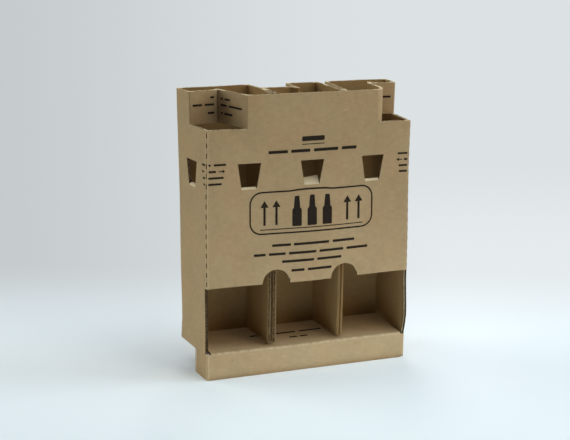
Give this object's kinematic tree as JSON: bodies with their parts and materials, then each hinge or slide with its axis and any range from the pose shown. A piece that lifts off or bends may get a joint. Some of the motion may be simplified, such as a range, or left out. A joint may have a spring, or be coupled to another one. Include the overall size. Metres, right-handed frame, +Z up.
{
  "type": "bottle shipping box",
  "caption": "Upright corrugated cardboard box insert that holds bottles side by side in open cells, with a front window, push tabs and pushed-in top corners.",
  "frame": {"origin": "on the surface it stands on, under the middle of the whole footprint", "axes": "+X to the right across the front panel, +Y to the back panel, +Z up"},
  "size_m": [0.2904, 0.089, 0.3685],
  "materials": {
    "corrugated_board": "matt kraft liner"
  },
  "bodies": {
    "root": {"folded_board": "corrugated_board"}
  },
  "joints": []
}
